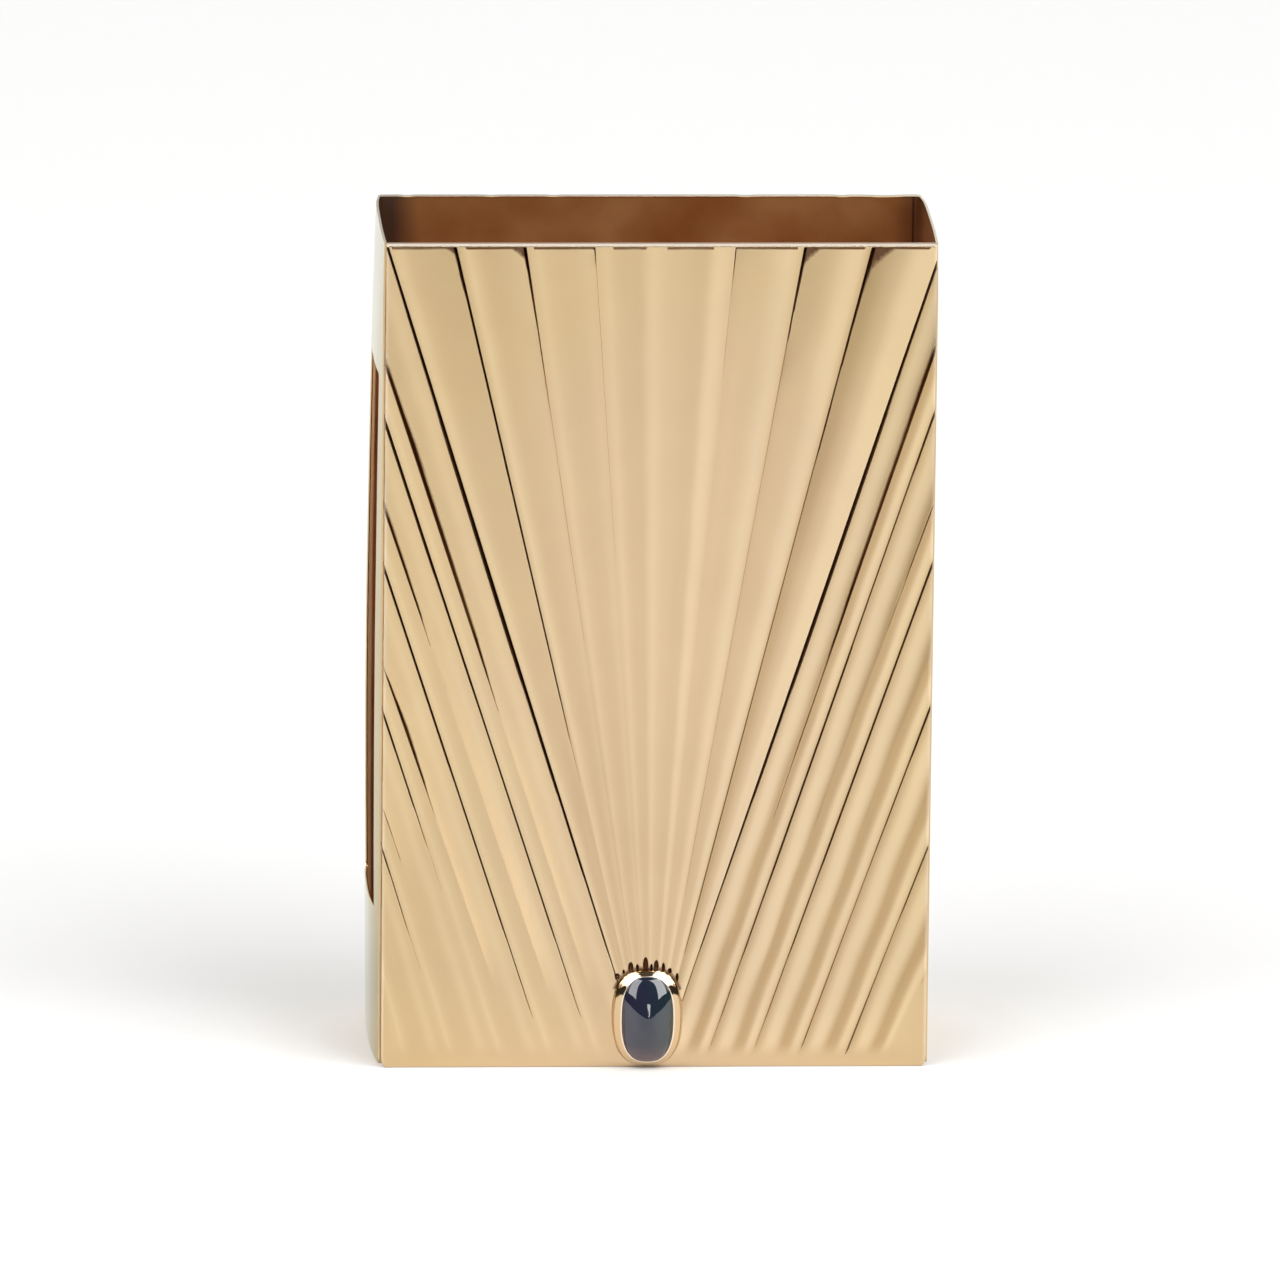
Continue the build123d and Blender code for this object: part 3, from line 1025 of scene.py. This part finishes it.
def polished_gold(name, gloss=0.1, engraving=False, burnished=False):
    """Mirror-bright gold; engraving is for the front plate and burnishing for the collet."""
    plain = not engraving and not burnished
    finish = Finish(name, Metallic=1.0, Specular_Tint=edge_tint if plain else (1, 1, 1, 1))
    x, y, z = finish.axes()
    mottle = finish.noise(170, 3, 0.55)
    wear = finish.noise(900, 4, 0.7)
    tone = (mottle - 0.5) * 0.3 + (finish.mesh_value("tone") if engraving else 0.5)
    colour = finish.blend(tone.clamped(), shade_gold, light_gold)
    across = x / (half_width * mm)
    yellow = across**2 * 1.2 - across * 0.25 + rise(z, 46, 12) * 0.8
    tint = finish.blend((yellow + (mottle - 0.5) * 1.5).clamped(), pinker, yellower)
    colour = finish.blend(1.0, colour, tint, "MULTIPLY")
    roughness, metal = gloss + (mottle - 0.5) * 0.05, 1.0
    if engraving:
        # Dark lines: dirt and painted shade, with painted shade in the stop cuts, corners and seat
        # line
        line = finish.mesh_value("engraved") + (wear - 0.5) * 0.25
        dirt_and_shade = finish.blend(((line - 0.73) * 6).clamped(), corner_shade_and_dirt, line_dirt_and_shade)
        dirt_and_shade_mask = ((line - 0.34) * 2.6).clamped()
        colour = finish.blend(dirt_and_shade_mask, colour, dirt_and_shade)
        roughness = roughness + dirt_and_shade_mask * 0.3
        metal = 1 - dirt_and_shade_mask * 0.2
    # Rubbed pale edges: wear along the sides, and a painted highlight along the top edge
    near_rim = rise(z, height - 0.07, 0.07)
    near_side = rise(x.size(), half_width - 0.25, 0.25) * (1 - rise(x.size(), half_width, 0.03))
    wear_and_light_mask = (near_rim + near_side * (wear * 0.6 + 0.15)).clamped() * 0.7
    wear_and_painted_light = worn_and_highlight_gold
    if burnished:
        # Collet: painted shade over the body, and a pale lip, rubbed and painted as a highlight
        on_lip = (((front_y * mm - y) / (collet_height * mm) - 0.94) * 20).clamped()
        colour = finish.blend((1 - on_lip) * 0.35, colour, shade_gold)
        # Painted highlights on the collet's upper shoulders, beside the middle
        beside_middle = rise((x - (stone_x - 0.2) * mm).size(), 0.39, 0.3)
        wear_and_light_mask = (on_lip + rise(z, 6.2, 0.15) * beside_middle).clamped() * 0.9
        # A painted shade band on the shoulders, below the highlights
        shoulder = rise(z, 5.5, 0.1) * fall(z, 6.3, 0.15)
        colour = finish.blend(shoulder * (1 - on_lip) * 0.9, colour, shoulder_shade)
    # On the plain plates the rubbed edges turn to painted shade, darkest on the left
    if plain:
        to_left = (0.6 - x / (half_width * 2 * mm)).clamped()
        wear_and_painted_light = finish.blend(to_left, worn_and_highlight_gold, rim_shade_gold)
    colour = finish.blend(wear_and_light_mask, colour, wear_and_painted_light)
    if engraving:
        # The back part of the front's top edge is painted in shade, with less metal
        behind = rise(y, front_y + 0.7, 0.1) * near_rim
        colour = finish.blend(behind * 0.9, colour, rim_back_shade)
        metal = metal * (1 - behind * 0.9)
        roughness = roughness + behind * 0.8
    # A painted shadow line along the foot
    colour = finish.blend(fall(z, 0.11, 0.1) * 0.8, colour, foot_shade)
    scratches = finish.noise(9000, 2, 0.6, (1, 1, 0.04), (0.3, 0.2, 0.5))
    waves = finish.noise(230)
    return finish.shade(
        Base_Color=colour,
        Metallic=metal,
        Roughness=(roughness + wear_and_light_mask * 0.15).clamped(),
        Normal=finish.bump(waves * 0.9 + scratches * 0.02, 0.012 * mm),
    )


front_gold = polished_gold("polished_gold_front", engraving=True)
plate_gold = polished_gold("polished_gold_plates")
collet_gold = polished_gold("collet_gold", gloss=0.06, burnished=True)

# %% [markdown]
# The inside was never polished. Its gold is satin, browned and blotchy, and light that goes in
# there bounces many times before it comes out, which makes it redder still.

# %% Browned gold inside
brown_gold, pale_brown = (0.48, 0.205, 0.065, 1), (0.6, 0.33, 0.14, 1)
# Painted shade at the ends of the mouth, in the seam at the back corner and below the top edge,
# and the strip of wall behind each window, painted as lit
mouth_end_shade, seam_and_edge_shade = (0.14, 0.095, 0.07, 1), (0.07, 0.04, 0.025, 1)
strip_gold = (0.75, 0.58, 0.34, 1)
inside = Finish("browned_gold", Metallic=1.0)
x, y, z = inside.axes()
blotch = inside.noise(210, 4, 0.6)
patch = inside.noise(90, stretch=(1, 1, 0.5))
stain = ((blotch * 0.6 + patch * 0.6 - 0.4) * 2.2).clamped()
# Painted shade towards both ends of the mouth
to_left = (((x / (-half_width * mm) - 0.86) * 12) + (blotch - 0.5) * 0.8).clamped()
to_right = (((x / (half_width * mm) - 0.9) * 12) + (blotch - 0.5) * 0.8).clamped()
near_mouth = rise(z, 52, 4)
colour = inside.blend(stain, brown_gold, pale_brown)
colour = inside.blend((to_left + to_right * 0.6) * near_mouth * 0.92, colour, mouth_end_shade)
# Painted shade in the seam at the back right corner and just below the top edge
seam_shade = fall((x - 18.95 * mm).size(), 0.12, 0.08) * rise(y, 8, 0.2)
top_edge = rise(z, height - 0.2, 0.2)
colour = inside.blend((seam_shade + top_edge).clamped() * 0.75, colour, seam_and_edge_shade)
# The strip of wall behind each window, painted as lit and made less metallic
strip = rise(y, 5.7, 0.4) * fall(y, 7.6, 0.4) * rise(x.size(), 19.35, 0.1) * (1 - near_mouth)
colour = inside.blend(strip, colour, strip_gold)
inside_gold = inside.shade(
    Metallic=(1 - strip * 0.7).clamped(),
    Base_Color=colour,
    Roughness=(stain * 0.12 + 0.34).clamped(),
    Normal=inside.bump(blotch, 0.02 * mm),
)

# %% [markdown]
# The stone is a dark blue cabochon. It lets a little light in, so its body is a deep blue with a
# green side, and its surface is a clear polish with a high refractive index.

# %% Blue stone
deep_blue, deep_green = (0.008, 0.007, 0.022, 1), (0.003, 0.014, 0.016, 1)
gold_reflection_tint = (0.1, 0.04, 0.04, 1)
blue = Finish("blue_stone", Roughness=0.04, IOR=1.77)
x, y, z = blue.axes()
zone = blue.noise(500, 3, 0.6, (1, 1, 0.5))
to_right = ((x - stone_x * mm) / (girdle[0] * mm) * 0.6 + 0.4 + (zone - 0.5) * 0.5).clamped()
body = blue.blend(to_right, deep_blue, deep_green)
# A warm painted reflection of the gold setting at the stone's lower edge
low_down = ((stone_z * mm - z) / (girdle[1] * mm) - 0.55).clamped() * 2.2
body = blue.blend(low_down.clamped(), body, gold_reflection_tint)
blue_stone = blue.shade(Base_Color=body, Normal=blue.bump(blue.noise(900), 0.01 * mm))

# %% [markdown]
# A plate has two finishes: polished outside and browned inside. The second finish goes to the faces
# that look into the pocket, which are found by their place and normal.

# %% Finishes on the pieces
facing = 0.7


def dress(piece, outer, looks_in=None):
    """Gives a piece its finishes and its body."""
    piece.data.materials.clear()
    piece.data.materials.append(outer)
    if looks_in:
        piece.data.materials.append(inside_gold)
        for face in piece.data.polygons:
            if looks_in(face.center / mm, face.normal):
                face.material_index = 1
    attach(piece, "root")


dress(
    front,
    front_gold,
    lambda at, way: way.y > facing and at.y > wall_front_y - 0.02,
)
dress(back, plate_gold, lambda at, way: way.y < -facing)
dress(left_wall, plate_gold, lambda at, way: way.x > facing)
dress(right_wall, plate_gold, lambda at, way: way.x < -facing)
dress(foot_plate, plate_gold, lambda at, way: way.z > facing)
dress(collet, collet_gold)
dress(stone, blue_stone)
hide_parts("front_panel")
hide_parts("back_panel")
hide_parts("left_side_wall")
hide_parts("right_side_wall")
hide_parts("base_plate")
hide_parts("stone_collet")
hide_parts("cabochon_stone")
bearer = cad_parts["stone_bearer"]
bearer.data.materials.clear()
bearer.data.materials.append(collet_gold)

# %% [markdown]
# ## Studio
#
# A plain pale floor runs far behind the holder, where it curves up into a backdrop. The mirror of
# the front shows the paper that lies before it, a little further away for each millimetre of
# height. So the paper gets slightly greyer towards the front, outside the picture, and the gold
# looks deeper at the rim than at the foot. Two wide soft lights stand high on the left and right
# and leave a dark gap between them, which the stone shows. A small pair overhead lights the
# shoulders of the setting, a narrow strip puts the thin glint in the stone, and a light at the
# rear keeps the backdrop white.

# %% Floor and backdrop
start()
bpy.ops.mesh.primitive_grid_add(x_subdivisions=2, y_subdivisions=2, size=1)
bpy.context.object.scale = (6, 4, 1)
bpy.context.object.location = (0, -0.5, 0)
floor = take(named("floor"), "EDIT")
pick(floor, "EDGE", lambda edge: all(vertex.co.y > 1.4 for vertex in edge.verts))
for away_and_up in ((0.25, 0.08), (0.08, 0.25), (0, 1.6)):
    extrude(*away_and_up)
start()
smooth(floor, 60)
paper = Finish("pale_floor", Roughness=0.6)
grain = paper.noise(60, 3)
paper_reach = 0.4
forward = (paper.axes()[1] / -paper_reach + (grain - 0.5) * 0.02).clamped()
# Grey of the paper at shares of its reach before the holder
paper_greys = ((0.05, 0.58), (0.18, 0.53), (0.33, 0.555), (0.65, 0.51), (1, 0.46))
stops = [(share, (grey, grey, grey * 0.995)) for share, grey in paper_greys]
paper_tone = paper.add("ShaderNodeValToRGB", {"stops": stops}, {0: forward})
floor.data.materials.append(paper.shade(Base_Color=paper_tone))


# %% Lights
def soft_light(name, at, towards, wide, high, power):
    """A soft rectangular light in metres, turned to shine at a point."""
    lamp = bpy.data.lights.new(name, "AREA")
    lamp.shape, lamp.size, lamp.size_y, lamp.energy = "RECTANGLE", wide, high, power
    holder = bpy.data.objects.new(name, lamp)
    scene.collection.objects.link(holder)
    holder.location = at
    holder.rotation_euler = (Vector(towards) - Vector(at)).to_track_quat("-Z", "Y").to_euler()


# Place, the point that it shines at, width, height and watts
soft_light("left_softbox", (-0.54, -0.42, 0.56), (0, 0, 0.03), 0.85, 0.85, 9.6)
soft_light("right_softbox", (0.52, -0.44, 0.56), (0, 0, 0.03), 0.85, 0.85, 12.0)
soft_light("strip_light", (0.06, -0.9, 0.11), (0, 0, 0.004), 0.03, 0.16, 0.09)
soft_light("left_overhead", (-0.3, -0.06, 0.75), (0, 0, 0.03), 0.36, 0.36, 0.85)
soft_light("right_overhead", (0.32, -0.06, 0.75), (0, 0, 0.03), 0.36, 0.36, 0.85)
soft_light("rear_light", (0, 0.85, 1.2), (0, 1.6, 0.25), 1.2, 0.6, 20.0)
world = scene.world = bpy.data.worlds.new("studio")
world.use_nodes = True
background = world.node_tree.nodes["Background"].inputs
background["Color"].default_value = (1, 1, 1, 1)
background["Strength"].default_value = 0.12
scene.view_settings.view_transform = "Standard"
scene.cycles.glossy_bounces = 8
